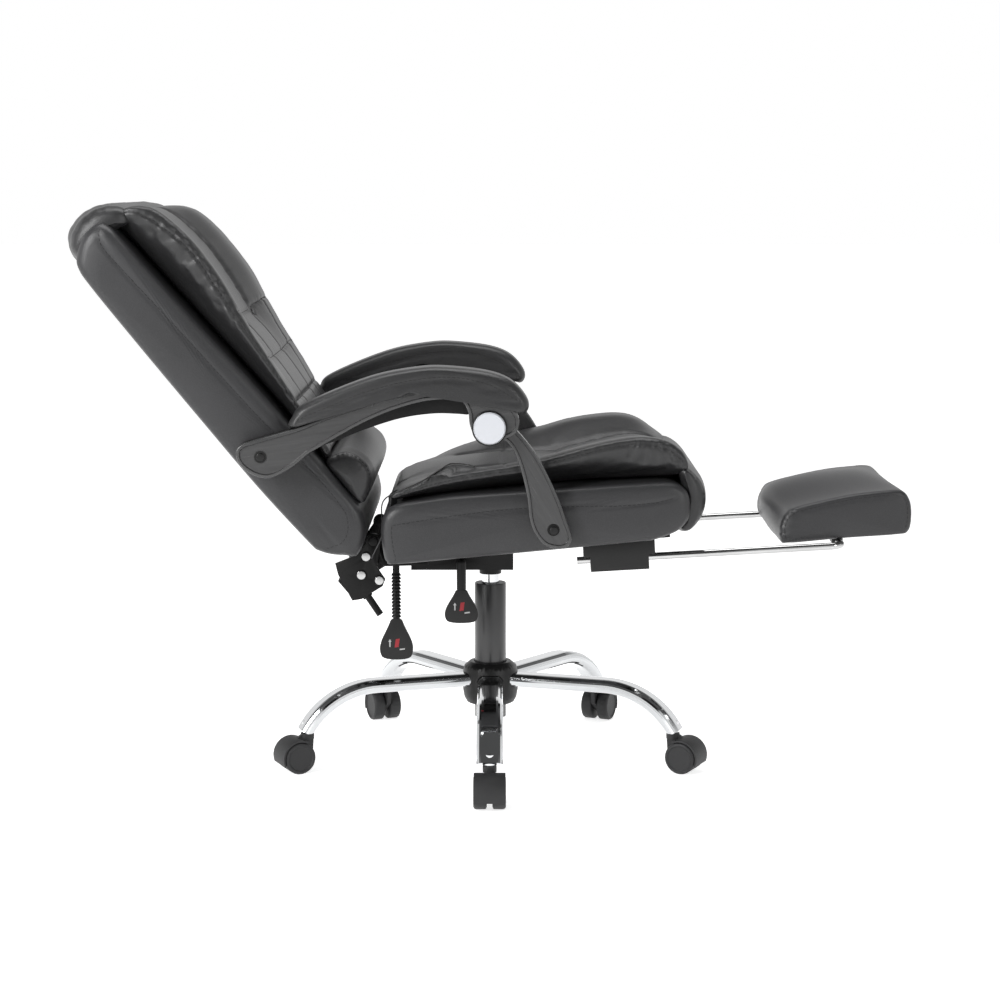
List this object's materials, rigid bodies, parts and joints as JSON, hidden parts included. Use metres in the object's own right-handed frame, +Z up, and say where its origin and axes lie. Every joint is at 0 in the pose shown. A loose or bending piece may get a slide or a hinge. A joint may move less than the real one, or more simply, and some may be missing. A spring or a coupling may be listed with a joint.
{
  "type": "reclining office chair with footrest",
  "caption": "Padded reclining office chair with linked arms and a slide-out, flip-over footrest, on a swivelling gas lift column and a star base with twin-wheel casters.",
  "frame": {"origin": "on the floor, on the column's axis", "axes": "+X the way the sitter faces and the footrest slides out, +Y to the sitter's left, +Z up; as posed, reclined with the footrest out"},
  "size_m": [1.296, 0.6471, 0.8834],
  "materials": {
    "black_leather": "satin",
    "arm_plastic": "satin",
    "black_plastic": "matte",
    "caster_plastic": "matte",
    "lever_plastic": "satin",
    "silver_plastic": "satin",
    "base_chrome": "polished",
    "rod_chrome": "polished",
    "steel_black": "satin",
    "tube_black": "satin",
    "zinc_steel": "satin",
    "plywood": "matte",
    "cord_black": "matte"
  },
  "bodies": {
    "base": {"base_hub": "steel_black", "base_legs": "base_chrome", "hub_collar": "black_plastic", "lift_outer_tube": "tube_black", "lift_bush": "black_plastic", "lift_bearing": "zinc_steel"},
    "lift_rod": {"lift_rod": "zinc_steel", "lift_clip": "zinc_steel"},
    "seat": {"lift_cylinder": "base_chrome", "mechanism_pan": "steel_black", "hinge_ears": "steel_black", "pivot_bolts": "zinc_steel", "seat_screws": "zinc_steel", "seat_board": "plywood", "seat_base_cushion": "black_leather", "seat_top_cushion": "black_leather", "seat_front_roll": "black_leather", "footrest_guides": "black_plastic", "massage_cord": "cord_black"},
    "release_pin": {"release_pin": "zinc_steel"},
    "height_lever": {"height_lever": "steel_black", "height_paddle": "lever_plastic"},
    "recline_lever": {"recline_lever": "steel_black", "recline_paddle": "lever_plastic"},
    "back": {"back_bracket": "steel_black", "back_board": "plywood", "back_screws": "zinc_steel", "bracket_stub": "steel_black", "back_base_cushion": "black_leather", "head_pillow": "black_leather", "head_wrap": "black_leather", "back_panel": "black_leather", "lumbar_roll": "black_leather", "arm_bolts": "black_plastic"},
    "arms": {"arm_frame_right": "arm_plastic", "arm_frame_left": "arm_plastic", "arm_pads": "black_leather"},
    "posts": {"arm_post_right": "arm_plastic", "arm_post_left": "arm_plastic", "arm_caps": "silver_plastic"},
    "footrest_frame": {"footrest_rods": "rod_chrome", "footrest_crossbar": "rod_chrome"},
    "footrest": {"footrest_saddles": "black_plastic", "footrest_board": "plywood", "footrest_pad": "black_leather"},
    "caster_1": {"caster_hood_1": "caster_plastic", "caster_pins_1": "zinc_steel"},
    "wheels_1": {"caster_wheels_1": "caster_plastic"},
    "caster_2": {"caster_hood_2": "caster_plastic", "caster_pins_2": "zinc_steel"},
    "wheels_2": {"caster_wheels_2": "caster_plastic"},
    "caster_3": {"caster_hood_3": "caster_plastic", "caster_pins_3": "zinc_steel"},
    "wheels_3": {"caster_wheels_3": "caster_plastic"},
    "caster_4": {"caster_hood_4": "caster_plastic", "caster_pins_4": "zinc_steel"},
    "wheels_4": {"caster_wheels_4": "caster_plastic"},
    "caster_5": {"caster_hood_5": "caster_plastic", "caster_pins_5": "zinc_steel"},
    "wheels_5": {"caster_wheels_5": "caster_plastic"}
  },
  "joints": [
    {"name": "seat_swivel", "type": "hinge", "parent": "base", "child": "lift_rod", "pos_m": [0, 0, 0.1], "axis": [0, 0, 1], "continuous": true},
    {"name": "seat_lift", "type": "slide", "parent": "lift_rod", "child": "seat", "axis": [0, 0, 1], "range_m": [0, 0.08]},
    {"name": "recline", "type": "hinge", "parent": "seat", "child": "back", "pos_m": [-0.18, 0, 0.366], "axis": [0, 1, 0], "range_deg": [0, 24]},
    {"name": "arm_swing", "type": "hinge", "parent": "back", "child": "arms", "pos_m": [-0.334, 0, 0.51764], "axis": [0, 1, 0], "range_deg": [-20.2, 0]},
    {"name": "post_swing", "type": "hinge", "parent": "seat", "child": "posts", "pos_m": [0.094, 0, 0.407], "axis": [0, 1, 0], "range_deg": [0, 26.5]},
    {"name": "footrest_slide", "type": "slide", "parent": "seat", "child": "footrest_frame", "axis": [0.9984, 0, 0.0567], "range_m": [-0.262, 0]},
    {"name": "footrest_flip", "type": "hinge", "parent": "footrest_frame", "child": "footrest", "pos_m": [0.532, 0, 0.3707], "axis": [0, 1, 0], "range_deg": [0, 180.5]},
    {"name": "height_lever_pull", "type": "hinge", "parent": "seat", "child": "height_lever", "pos_m": [-0.044, 0, 0.336], "axis": [0, 1, 0], "range_deg": [0, 5], "stiffness_Nm_per_rad": 1.5},
    {"name": "release_pin_press", "type": "slide", "parent": "seat", "child": "release_pin", "axis": [0, 0, 1], "range_m": [-0.0045, 0]},
    {"name": "recline_lever_pull", "type": "hinge", "parent": "seat", "child": "recline_lever", "pos_m": [-0.144, 0, 0.336], "axis": [0, 1, 0], "range_deg": [0, 14], "stiffness_Nm_per_rad": 1.5},
    {"name": "caster_1_swivel", "type": "hinge", "parent": "base", "child": "caster_1", "pos_m": [0, -0.301, 0.06], "axis": [0, 0, 1], "continuous": true},
    {"name": "wheels_1_spin", "type": "hinge", "parent": "caster_1", "child": "wheels_1", "pos_m": [0, -0.321, 0.025], "axis": [1, 0, 0], "continuous": true},
    {"name": "caster_2_swivel", "type": "hinge", "parent": "base", "child": "caster_2", "pos_m": [0.28627, -0.09301, 0.06], "axis": [0, 0, 1], "continuous": true},
    {"name": "wheels_2_spin", "type": "hinge", "parent": "caster_2", "child": "wheels_2", "pos_m": [0.30424, -0.10178, 0.025], "axis": [0.4384, 0.8988, 0], "continuous": true},
    {"name": "caster_3_swivel", "type": "hinge", "parent": "base", "child": "caster_3", "pos_m": [0.17692, 0.24351, 0.06], "axis": [0, 0, 1], "continuous": true},
    {"name": "wheels_3_spin", "type": "hinge", "parent": "caster_3", "child": "wheels_3", "pos_m": [0.18506, 0.26178, 0.025], "axis": [-0.9135, 0.4067, 0], "continuous": true},
    {"name": "caster_4_swivel", "type": "hinge", "parent": "base", "child": "caster_4", "pos_m": [-0.17692, 0.24351, 0.06], "axis": [0, 0, 1], "continuous": true},
    {"name": "wheels_4_spin", "type": "hinge", "parent": "caster_4", "child": "wheels_4", "pos_m": [-0.18506, 0.26178, 0.025], "axis": [-0.9135, -0.4067, 0], "continuous": true},
    {"name": "caster_5_swivel", "type": "hinge", "parent": "base", "child": "caster_5", "pos_m": [-0.28627, -0.09301, 0.06], "axis": [0, 0, 1], "continuous": true},
    {"name": "wheels_5_spin", "type": "hinge", "parent": "caster_5", "child": "wheels_5", "pos_m": [-0.30424, -0.10178, 0.025], "axis": [0.4384, -0.8988, 0], "continuous": true}
  ],
  "couplings": [
    {"joint": "arm_swing", "follows": "recline", "ratio": -0.83},
    {"joint": "post_swing", "follows": "recline", "ratio": 1.09},
    {"joint": "footrest_flip", "follows": "footrest_slide", "rad_per_m": -11.991},
    {"joint": "release_pin_press", "follows": "height_lever_pull", "m_per_rad": -0.05}
  ]
}
